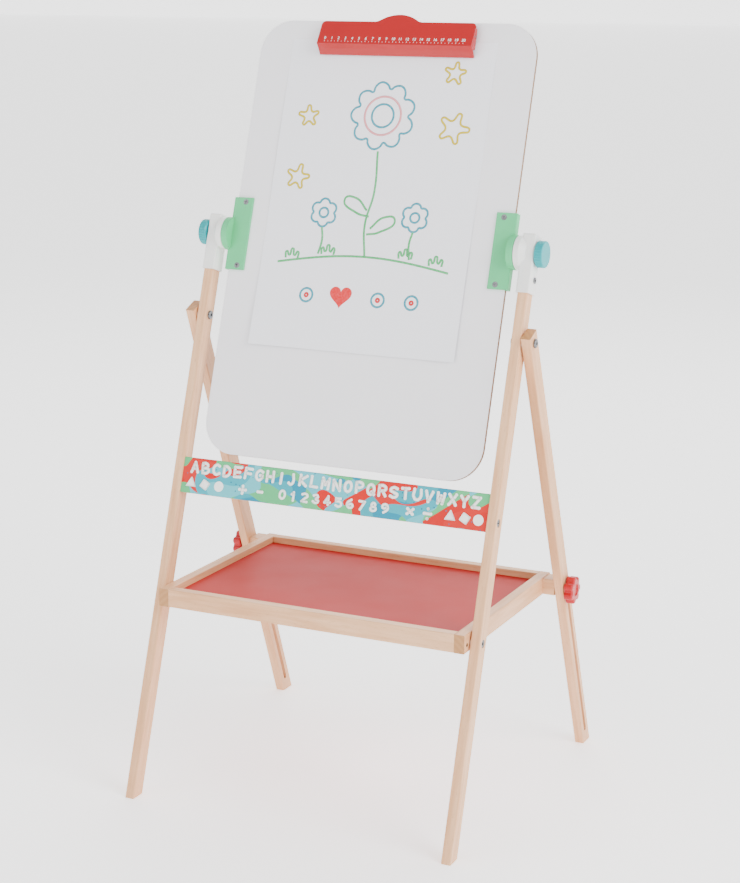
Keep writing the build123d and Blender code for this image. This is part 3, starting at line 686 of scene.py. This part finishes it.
# Strokes of each rounded letter and figure on the grid: each pair of digits is a point, "|" parts two
# strokes, "~" marks a soft line and "o" a closed soft line.
GRID_WIDE = 6
GRID_HIGH = 8
GRID_SQUEEZE = 0.95  # how much narrower than high a step of the grid is
GLYPHS = {
    "A": "00 38 60|13 53", "B": "00 08|~08 38 56 34 04|~04 44 62 40 00", "C": "~67 38 04 30 61",
    "D": "00 08|~08 38 64 30 00", "E": "68 08 00 60|04 54", "F": "68 08 00|04 54",
    "G": "~67 38 04 30 62|64 62|64 44", "H": "00 08|60 68|04 64", "I": "30 38", "J": "~48 42 20 01",
    "K": "00 08|68 04 60", "L": "08 00 60", "M": "00 08 33 68 60", "N": "00 08 60 68", "O": "o38 64 30 04",
    "P": "00 08|~08 48 66 44 04", "Q": "o38 64 30 04|42 60", "R": "00 08|~08 48 66 44 04|34 60",
    "S": "~67 38 06 34 62 30 01", "T": "08 68|38 30", "U": "~08 02 30 62 68", "V": "08 30 68",
    "W": "08 10 36 50 68", "X": "08 60|00 68", "Y": "08 34 68|34 30", "Z": "08 68 00 60",
    "0": "o38 64 30 04", "1": "16 38 30", "2": "~07 38 66 33 00|00 60", "3": "~07 38 56 34 62 30 01",
    "4": "40 48 02 62", "5": "58 08 05|~05 45 62 30 01", "6": "~48 05 02 30 62 44 02", "7": "08 68 20",
    "8": "o38 56 34 16|o34 62 30 02", "9": "~20 63 66 38 06 24 66", "+": "04 64|31 37", "-": "14 54",
    "x": "12 66|16 62", "/": "04 64|30 30|38 38",
}


def glyph(sign: str, height: float, pen: float) -> bpy.types.Object:
    """Make a chunky rounded letter or figure as a flat mesh, centred on the origin.

    Args:
        sign: A key of GLYPHS.
        height: Its whole height.
        pen: The width of its strokes.

    Returns:
        The letter's mesh.
    """
    up = (height - pen) / GRID_HIGH
    across = up * GRID_SQUEEZE
    pieces = []
    for line in GLYPHS[sign].split("|"):
        closed, smooth = line[0] == "o", line[0] in "o~"
        pairs = line.strip("o~").split()
        points = [((int(x) - GRID_WIDE / 2) * across, (int(y) - GRID_HIGH / 2) * up) for x, y in pairs]
        if smooth:
            pieces.append(stroke(points, pen, closed))
        else:
            pieces += [stroke(run, pen) for run in zip(points, points[1:]) if run[0] != run[1]]
        ends = (points[0], points[-1]) if smooth else points
        for x, y in () if closed else ends:
            disc = fresh(bpy.ops.mesh.primitive_cylinder_add, vertices=20, radius=pen / 2, depth=DOT_FILM,
                         location=(x, y, 0))
            pieces.append(settle(disc))
    return joined(pieces, "glyph")


def circle_points(x: float, y: float, radius: float, count: int = 12) -> list[tuple[float, float]]:
    """Return points evenly round a circle."""
    angles = [2 * math.pi * index / count for index in range(count)]
    return [(x + radius * math.cos(angle), y + radius * math.sin(angle)) for angle in angles]


def millimetres(points: Iterable[tuple[float, float]]) -> list[tuple[float, float]]:
    """Turn points given in millimetres into metres."""
    return [(x * MM, y * MM) for x, y in points]


# ---------------------------------------------------------------- sub-assemblies
# Places on the rail in millimetres from its middle: each sign with its place, each shape with its corners,
# radius and turn, and the shapes' places at the rail's left and right.
SIGNS = (("+", -127), ("-", -101), ("x", 114), ("/", 139))
SHAPES = ((3, 9.0, 0.0), (4, 8.2, 0.3), (32, 7.0, 0.0))
SHAPE_PLACES = ((-205, -184, -163), (170, 190, 208))


@dataclass
class AlphabetRail:
    """The printed rail between the front legs: letters above, figures and shapes below."""

    letter: float = 17.0 * MM
    figure: float = 14.0 * MM
    sign: float = 16.8 * MM
    pen: float = 4.3 * MM
    figure_weight: float = 0.85  # width of the figures' strokes, as a share of the letters'
    margin: float = 9.0 * MM
    upper_row: float = 0.735  # the rows' places, as shares of the rail's height
    lower_row: float = 0.28
    first_figure: float = -68.0 * MM
    figure_pitch: float = 16.4 * MM
    letter_stray: tuple[float, float] = (0.012, 0.07)  # most shift, as a share of the height, and turn
    figure_stray: tuple[float, float] = (0.01, 0.06)
    softening: float = 1.1 * MM  # of the shapes' corners
    lift: float = 0.08 * MM
    body: str = "front_frame"
    pieces: Pieces = field(default_factory=list)

    def __post_init__(self) -> None:
        """Read the rail's size and place from its CAD node."""
        self.low, self.high = reach("alphabet_rail", UP, TILT)
        self.face = reach("alphabet_rail", OUT, TILT)[1] + self.lift
        self.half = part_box("alphabet_rail")[1][0]

    def put(self, piece: bpy.types.Object, x: float, share: float, spin: float = 0.0) -> None:
        """Lay a flat piece on the rail's face.

        Args:
            piece: The piece.
            x: Its place across the easel.
            share: Its place as a share of the rail's height.
            spin: Its turn in the rail's plane.
        """
        up = self.low + share * (self.high - self.low)
        settle(piece, FRONT.matrix(x, up, self.face) @ Matrix.Rotation(spin, 4, "Z"))
        self.pieces.append(piece)

    def shape(self, corners: int, radius: float, spin: float) -> bpy.types.Object:
        """Make a flat triangle, diamond or disc, the first two with softened corners.

        Args:
            corners: Number of corners; many make a disc.
            radius: Distance of a corner from the middle.
            spin: Turn in its plane.

        Returns:
            The shape's mesh.
        """
        obj = fresh(bpy.ops.mesh.primitive_cylinder_add, vertices=corners, radius=radius, depth=FILM,
                    rotation=(0, 0, spin))
        if corners <= 4:
            for edge in obj.data.edges:
                low, high = (obj.data.vertices[end].co for end in edge.vertices)
                edge.select = abs(low.z - high.z) > FILM / 2
            bpy.ops.object.mode_set(mode="EDIT")
            bpy.ops.mesh.select_mode(type="EDGE")
            bpy.ops.mesh.bevel(offset=self.softening, segments=4)
            bpy.ops.object.mode_set(mode="OBJECT")
        return obj

    def build(self, ink: bpy.types.Material) -> None:
        """Print the letters, figures and shapes.

        Args:
            ink: The white ink.
        """
        dice = Random(5)
        letters = "ABCDEFGHIJKLMNOPQRSTUVWXYZ"
        run = 2 * (self.half - self.margin) - self.letter
        for index, letter in enumerate(letters):
            x = -run / 2 + run * index / (len(letters) - 1)
            shift, turn = (dice.uniform(-most, most) for most in self.letter_stray)
            self.put(glyph(letter, self.letter, self.pen), x, self.upper_row + shift, turn)
        for index, digit in enumerate("0123456789"):
            x = self.first_figure + self.figure_pitch * index
            shift, turn = (dice.uniform(-most, most) for most in self.figure_stray)
            number = glyph(digit, self.figure, self.pen * self.figure_weight)
            self.put(number, x, self.lower_row + shift, turn)
        for sign, x in SIGNS:
            self.put(glyph(sign, self.sign, self.pen), x * MM, self.lower_row)
        for places in SHAPE_PLACES:
            for (corners, radius, spin), x in zip(SHAPES, places):
                self.put(self.shape(corners, radius * MM, spin), x * MM, self.lower_row)
        hand_over(joined(self.pieces, "rail_lettering"), self.body, ink)


@dataclass
class ClipRuler:
    """The centimetre ruler printed on the clip's sloping face."""

    crease_up: float = 262.2 * MM
    crease_out: float = 17.5 * MM
    top_up: float = 295.5 * MM
    top_out: float = 9.0 * MM
    centre: float = 3.0 * MM
    figure: float = 4.0 * MM
    figure_rise: float = 8.2 * MM
    tick_rise: float = 2.9 * MM
    tick: float = 2.0 * MM
    tick_width: float = 0.5 * MM
    half_tick: float = 0.55  # length of a tick between two figures, as a share of a whole one
    film: float = 0.08 * MM
    swell: float = 0.08 * MM  # how far the figures' strokes are fattened
    lift: float = 0.05 * MM
    centimetres: int = 20

    def matrix(self, x: float, rise: float) -> Matrix:
        """Return the placing of a mark on the clip's face.

        Args:
            x: The mark's place across the board.
            rise: Its distance above the crease, along the face.

        Returns:
            The matrix that carries the flat mark to its place.
        """
        tip = math.atan2(self.crease_out - self.top_out, self.top_up - self.crease_up)
        up = self.crease_up + rise * math.cos(tip)
        out = self.crease_out - rise * math.sin(tip) + self.lift
        return BOARD.matrix(x, up, out, tip)

    def build(self, ink: bpy.types.Material) -> None:
        """Print a figure and a tick at each centimetre, and a short tick between them.

        Args:
            ink: The white ink.
        """
        marks = []
        for half in range(2 * self.centimetres + 1):
            x = self.centre + (half - self.centimetres) * 5 * MM
            whole = half % 2 == 0
            tall = self.tick if whole else self.tick * self.half_tick
            tick = fresh(bpy.ops.mesh.primitive_cube_add, size=1, scale=(self.tick_width, tall, self.film))
            marks.append(settle(tick, self.matrix(x, self.tick_rise + tall / 2)))
            if whole:
                number = lettering(str(half // 2), self.figure, self.swell, self.film)
                marks.append(settle(number, self.matrix(x, self.figure_rise)))
        hand_over(joined(marks, "ruler_print"), "clip_lever", ink)


# The drawing's places in millimetres, across from the sheet's middle and up from its top edge.
STARS = ((95, -42, 15, 0.1), (103, -116, 22, 0.35), (-108, -106, 15, -0.1), (-112, -190, 17, 0.2))
GROUND_START, GROUND_STEP, GROUND_RISE, GROUND_FOOT, GROUND_STEPS = -124, 27.5, 14, -306, 9
TUFTS = ((-104, -300), (104, -298), (-52, -292), (60, -291))
BLADES = ((-9, 0), (-8, 9), (-4, 4), (0, 13), (4, 4), (8, 9), (9, 0))
STEM = ((2, -291), (-4, -250), (3, -205), (0, -150))
LEAF = ((0, 0), (18, 4), (38, 22), (22, 24), (4, 8))
LEAVES = ((1, -262), (-1, -238))  # side and foot
STALK = ((66, -255), (63, -272), (66, -292))
BIG_FLOWER = (0, -102)
SMALL_FLOWER = (66, -236)
HEART = (-24, -346)
BUTTONS, BUTTON_ROW = (-74, 30, 78), -348


@dataclass
class Drawing:
    """The A3 drawing sheet in the clip, with a child's picture in felt pen."""

    width: float = 297 * MM
    length: float = 420 * MM
    thickness: float = 0.2 * MM
    centre: float = -3.2 * MM
    top: float = 272.0 * MM
    pen: float = 2.9 * MM
    lift: float = 7.0 * MM  # how far the free bottom corners curl off the board
    lift_start: float = 0.55  # share of the length where the curl starts
    ripple: float = 0.5 * MM
    gap: float = 0.25 * MM
    ink_gap: float = 0.07 * MM
    body: str = "board"
    lines: dict[str, Pieces] = field(default_factory=dict)

    def curl(self, x: float, y: float) -> float:
        """Return how far the sheet stands off the board at a point of the flat sheet.

        Args:
            x: Across the sheet from its middle.
            y: Up the sheet from its top edge, so below zero.

        Returns:
            The distance in metres.
        """
        down = -y / self.length
        side = abs(x) / (self.width / 2)
        ripple = self.ripple * (1 + math.sin(9 * down + 3.0 * x / self.width)) * min(1.0, 4 * down)
        rise = self.lift * max(0.0, down - self.lift_start) ** 2
        return self.gap + ripple + rise * (0.6 + 1.6 * side ** 3)

    def lay(self, obj: bpy.types.Object, above: float = 0.0) -> bpy.types.Object:
        """Bend a flat piece to the sheet's curl and carry it to the board.

        Args:
            obj: The piece, drawn flat with the sheet's top edge at Y = 0.
            above: How far it lies above the sheet.

        Returns:
            The same piece.
        """
        for vertex in obj.data.vertices:
            x, y, z = vertex.co
            vertex.co.z = z + self.curl(x, y) + above
        return settle(obj, BOARD.matrix(self.centre, self.top, 0.0))

    def sheet(self, material: bpy.types.Material) -> bpy.types.Object:
        """Make the sheet itself from a fine grid.

        Args:
            material: The paper's material.

        Returns:
            The sheet.
        """
        sheet = fresh(bpy.ops.mesh.primitive_grid_add, x_subdivisions=48, y_subdivisions=64, size=1,
                      location=(0, -self.length / 2, 0))
        sheet.scale = (self.width, self.length, 1)
        self.lay(settle(sheet))
        only(sheet)
        wall = sheet.modifiers.new("wall", "SOLIDIFY")
        wall.thickness = self.thickness
        wall.offset = -1.0
        bpy.ops.object.modifier_apply(modifier=wall.name)
        sheet.name = "drawing_paper"
        bpy.ops.object.shade_smooth_by_angle(angle=math.radians(40))
        hand_over(sheet, self.body, material)
        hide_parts("drawing_sheet")
        return sheet

    def ring(self, pen: str, x: float, y: float, radius: float, count: int = 12) -> None:
        """Draw a circle with one of the pens."""
        self.lines[pen].append(stroke(circle_points(x, y, radius, count), self.pen, closed=True))

    def star(self, x: float, y: float, radius: float, spin: float) -> None:
        """Draw a five-pointed star with wobbly corners.

        Args:
            x: Place of its middle, across.
            y: Place of its middle, up from the sheet's top edge.
            radius: Distance of its points from the middle.
            spin: Its turn.
        """
        dice = Random(int(1000 * (x + y)))
        points = []
        for index in range(10):
            r = radius * (1.0 if index % 2 == 0 else 0.5) * dice.uniform(0.92, 1.06)
            angle = spin + math.pi * index / 5
            points.append((x + r * math.sin(angle), y + r * math.cos(angle)))
        self.lines["yellow"].append(stroke(points, self.pen, closed=True))

    def heart(self, x: float, y: float, size: float) -> None:
        """Draw a filled heart.

        Args:
            x: Place of its middle, across.
            y: Place of its middle, up from the sheet's top edge.
            size: Its width.
        """
        curve = bpy.data.curves.new("heart", "CURVE")
        curve.dimensions = "2D"
        curve.fill_mode = "BOTH"
        curve.extrude = FILM / 2
        spline = curve.splines.new("POLY")
        count = 48
        unit = size / 32
        spline.points.add(count - 1)
        for index in range(count):
            t = 2 * math.pi * index / count
            across = 16 * math.sin(t) ** 3
            upward = 13 * math.cos(t) - 5 * math.cos(2 * t) - 2 * math.cos(3 * t) - math.cos(4 * t)
            spline.points[index].co = (x + across * unit, y + upward * unit, 0, 1)
        spline.use_cyclic_u = True
        self.lines["red"].append(from_curve(curve))

    def flower(self, x: float, y: float, radius: float, petals: int) -> None:
        """Draw a flower head as a scalloped ring round a middle.

        Args:
            x: Place of its middle, across.
            y: Place of its middle, up from the sheet's top edge.
            radius: Distance of its petals' tips from the middle.
            petals: Number of petals.
        """
        edge = []
        count = petals * 6
        for index in range(count):
            angle = 2 * math.pi * index / count
            r = radius * (0.80 + 0.20 * abs(math.sin(petals * angle / 2)))
            edge.append((x + r * math.cos(angle), y + r * math.sin(angle)))
        self.lines["turquoise"].append(stroke(edge, self.pen, closed=True))
        self.ring("turquoise", x, y, radius * 0.34)

    def meadow(self) -> None:
        """Draw the ground, its tufts of grass, and the big flower's stem and leaves."""
        green = self.lines["green"]
        turns = [math.pi * i / GROUND_STEPS for i in range(GROUND_STEPS + 1)]
        hump = [(GROUND_START + GROUND_STEP * i, GROUND_RISE * math.sin(turn) + GROUND_FOOT)
                for i, turn in enumerate(turns)]
        green.append(stroke(millimetres(hump), self.pen))
        for x, y in TUFTS:
            green.append(stroke(millimetres((x + a, y + b) for a, b in BLADES), self.pen))
        green.append(stroke(millimetres(STEM), self.pen))
        for side, foot in LEAVES:
            green.append(stroke(millimetres((side * a, foot + b) for a, b in LEAF), self.pen))

    def flowers(self) -> None:
        """Draw the big flower, and a small one on a stalk at each side."""
        x, y = BIG_FLOWER
        self.flower(x * MM, y * MM, 46 * MM, 9)
        self.ring("pink", x * MM, y * MM, 26 * MM, 16)
        x, y = SMALL_FLOWER
        for side in (-1, 1):
            self.flower(side * x * MM, y * MM, 19 * MM, 6)
            self.lines["green"].append(stroke(millimetres((side * a, b) for a, b in STALK), self.pen))

    def build(self, paper: bpy.types.Material, pens: dict[str, bpy.types.Material]) -> None:
        """Hang the sheet and draw on it.

        Args:
            paper: The paper's material.
            pens: The ink of each pen, by its colour's name.
        """
        sheet = self.sheet(paper)
        self.lines = {name: [] for name in pens}
        for x, y, radius, spin in STARS:
            self.star(x * MM, y * MM, radius * MM, spin)
        self.meadow()
        self.flowers()
        x, y = HEART
        self.heart(x * MM, y * MM, 32 * MM)
        for x in BUTTONS:
            self.ring("turquoise", x * MM, BUTTON_ROW * MM, 9 * MM, 10)
            self.ring("red", x * MM, BUTTON_ROW * MM, 2.2 * MM, 8)
        for name, strokes in self.lines.items():
            picture = self.lay(joined(strokes, f"{name}_pen_lines"), self.ink_gap)
            hand_over(picture, self.body, pens[name])


@dataclass(frozen=True)
class Lamp:
    """A square soft light: where it hangs, the point it faces, its side and its watts."""

    name: str
    place: Vector
    aim: Vector
    size: float
    power: float

    def hang(self) -> None:
        """Put the light in the scene."""
        data = bpy.data.lights.new(self.name, "AREA")
        data.shape = "SQUARE"
        data.size = self.size
        data.energy = self.power
        lamp = bpy.data.objects.new(self.name, data)
        bpy.context.collection.objects.link(lamp)
        turn = (self.aim - self.place).to_track_quat("-Z", "Y").to_matrix().to_4x4()
        lamp.matrix_world = Matrix.Translation(self.place) @ turn


LAMPS = (
    Lamp("key_light", Vector((3.2, -0.9, 2.4)), Vector((0, 0, 0.5)), 2.2, 150),
    Lamp("fill_light", Vector((-1.8, -3.0, 2.0)), Vector((0, 0, 0.6)), 2.6, 42),
    Lamp("back_light", Vector((-0.8, 2.8, 2.8)), Vector((0, 0, 0.4)), 2.4, 50),
)


@dataclass
class Studio:
    """Pale floor and backdrop, soft lights and the camera."""

    camera_place: Vector = field(default_factory=lambda: Vector((1.06686, -2.2920, 1.02725)))
    yaw: float = math.radians(24.88)
    pitch: float = math.radians(-10.7)
    roll: float = math.radians(0.72)
    lens: float = 78.77
    shift: float = -0.0753
    floor_size: float = 400.0
    sight: float = 500.0
    glow: float = 1.05  # of the floor and backdrop
    air: float = 1.0  # light from all round

    def camera(self) -> None:
        """Set up the camera, a long lens at the height of the board's top."""
        data = bpy.data.cameras.new("camera")
        data.lens = self.lens
        data.sensor_width = 36
        data.shift_y = self.shift
        data.clip_end = self.sight
        camera = bpy.data.objects.new("camera", data)
        bpy.context.collection.objects.link(camera)
        turn = Euler((math.pi / 2 + self.pitch, 0, self.yaw)).to_matrix()
        spin = Matrix.Rotation(self.roll, 3, "Z")
        camera.matrix_world = Matrix.Translation(self.camera_place) @ (turn @ spin).to_4x4()
        bpy.context.scene.camera = camera

    def floor(self) -> None:
        """Lay a wide pale floor with a backdrop at its far edge."""
        half = self.floor_size / 2
        ground = fresh(bpy.ops.mesh.primitive_plane_add, size=self.floor_size)
        backdrop = fresh(bpy.ops.mesh.primitive_plane_add, size=self.floor_size,
                         location=(0, half, half), rotation=(math.pi / 2, 0, 0))
        floor = joined([ground, settle(backdrop)], "floor")
        paint = Finish("pale_floor", "#FFFFFF", roughness=0.9)
        _, shader, _ = paint.start()
        shader.inputs["Emission Color"].default_value = linear(paint.colour)
        shader.inputs["Emission Strength"].default_value = self.glow
        dress(floor, bpy.data.materials[paint.name])

    def build(self) -> None:
        """Set the stage."""
        self.camera()
        self.floor()
        for lamp in LAMPS:
            lamp.hang()
        world = bpy.data.worlds.new("studio_air")
        world.use_nodes = True
        background = world.node_tree.nodes["Background"]
        background.inputs["Color"].default_value = linear("#FFFFFF")
        background.inputs["Strength"].default_value = self.air
        bpy.context.scene.world = world


# ---------------------------------------------------------------- finishes of the CAD pieces
def finishes() -> dict[str, bpy.types.Material]:
    """Make every finish of the CAD pieces.

    Returns:
        The materials by a short name.
    """
    made: dict[str, Finish] = {
        "front_leg": Timber("beech_front_legs", "#E9B88C", 0.5, grain=Grain.FRONT_LEG),
        "rear_leg": Timber("beech_rear_legs", "#E6B184", 0.5, grain=Grain.REAR_LEG),
        "across": Timber("beech_cross_rails", "#E9B78A", 0.5, grain=Grain.ACROSS),
        "to_back": Timber("beech_side_rails", "#E7B387", 0.5, grain=Grain.TO_BACK),
        "print": PrintedFilm("printed_rail", "#5BB9C4", 0.55, gloss=0.2, edge=0.3 * MM),
        "panel": Paint("red_lacquered_hardboard", "#B0130E", 0.55, gloss=0.2, peel=1.6 * MM,
                       peel_depth=0.03 * MM),
        "white": Moulding("white_abs", "#F1F1EE", 0.34),
        "green": Moulding("mint_green_abs", "#52C684", 0.42, gloss=0.35),
        "turquoise": Moulding("turquoise_abs", "#00A0A6", 0.34, gloss=0.4),
        "clip": Moulding("red_gloss_abs", "#B00008", 0.22, gloss=0.5, edge=1.3 * MM, grit=1.2 * MM,
                         grit_depth=0.004 * MM),
        "star": Moulding("red_knob_abs", "#B80010", 0.28, gloss=0.4, grit_depth=0.006 * MM),
        "zinc": Metal("zinc_plated_steel", "#7E7F82", 0.26, 1.0, edge=0.2 * MM),
        "brass": Metal("turned_brass", "#D8B46A", 0.30, 1.0, dull="#B08F50", edge=0.2 * MM),
        "spring": Metal("spring_wire", "#9C9DA0", 0.28, 1.0, edge=0.1 * MM),
        "nylon": Moulding("natural_nylon", "#ECEAE2", 0.45, ior=1.53),
        "core": Fibreboard("fibreboard_edge", "#9A7658", 0.8),
        "whiteboard": Paint("white_steel_enamel", "#F0EEF2", 0.2, gloss=0.4, peel=12 * MM,
                            peel_depth=0.01 * MM, coat=0.6),
        "chalkboard": Paint("black_chalkboard_paint", "#232727", 0.75, peel=1.0 * MM, peel_depth=0.05 * MM,
                            haze="#3A3F3F"),
    }
    return {name: finish.build() for name, finish in made.items()}


WEARS = {
    "front_leg": ("front_leg_left", "front_leg_right"),
    "rear_leg": ("rear_leg_left", "rear_leg_right"),
    "across": ("tray_front_rail", "tray_rear_rail", "rail_dowels",
               "spacer_block_left", "spacer_block_right"),
    "to_back": ("tray_side_rail_left", "tray_side_rail_right", "tray_corner_dowels"),
    "print": ("alphabet_rail",),
    "panel": ("tray_panel",),
    "white": ("leg_cap_left", "leg_cap_right"),
    "green": ("board_bracket_left", "board_bracket_right"),
    "turquoise": ("tilt_knob_left", "tilt_knob_right"),
    "clip": ("clip_lever", "clip_base"),
    "star": ("star_knob_left", "star_knob_right"),
    "zinc": ("rail_screws", "cap_screws", "leg_pivot_bolts", "leg_pivot_nuts", "tray_pivot_bolts",
             "tray_corner_screws", "slide_bolts", "bracket_screws", "bracket_nuts", "tilt_bolts",
             "clip_screws", "clip_pin"),
    "brass": ("tray_inserts", "star_knob_insert_left", "star_knob_insert_right",
              "tilt_knob_insert_left", "tilt_knob_insert_right"),
    "spring": ("clip_springs",),
    "nylon": ("leg_pivot_washers", "tray_pivot_washers", "slide_washers"),
    "core": ("board_core",),
    "whiteboard": ("whiteboard_sheet",),
    "chalkboard": ("chalkboard_sheet",),
}


def main() -> None:
    """Build the stage, the printed and drawn pieces, and dress the CAD pieces."""
    logging.basicConfig(level=logging.INFO, format="%(name)s: %(message)s")
    Studio().build()
    looks = finishes()
    for look, nodes in WEARS.items():
        for node in nodes:
            dress(frame["nodes"][node], looks[look])
        LOG.info("%s: %s", look, ", ".join(nodes))
    white_ink = Ink("white_screen_ink", "#FBFBF8", 0.45, thin="#EFEFEA").build()
    pens = {
        "yellow": Ink("yellow_felt_pen", "#CDB400", 0.6, thin="#E0D020").build(),
        "red": Ink("red_felt_pen", "#D40F18", 0.6, thin="#EC7A78").build(),
        "green": Ink("green_felt_pen", "#2FAE5C", 0.6, thin="#BDE6C8").build(),
        "turquoise": Ink("turquoise_felt_pen", "#0E8CA2", 0.6, thin="#A6D8DF").build(),
        "pink": Ink("pink_felt_pen", "#E98F96", 0.6, thin="#F5D8DA").build(),
    }
    AlphabetRail().build(white_ink)
    ClipRuler().build(white_ink)
    Drawing().build(Paper("drawing_paper", "#CBC4F6", 0.85).build(), pens)


if __name__ == "__main__":
    main()
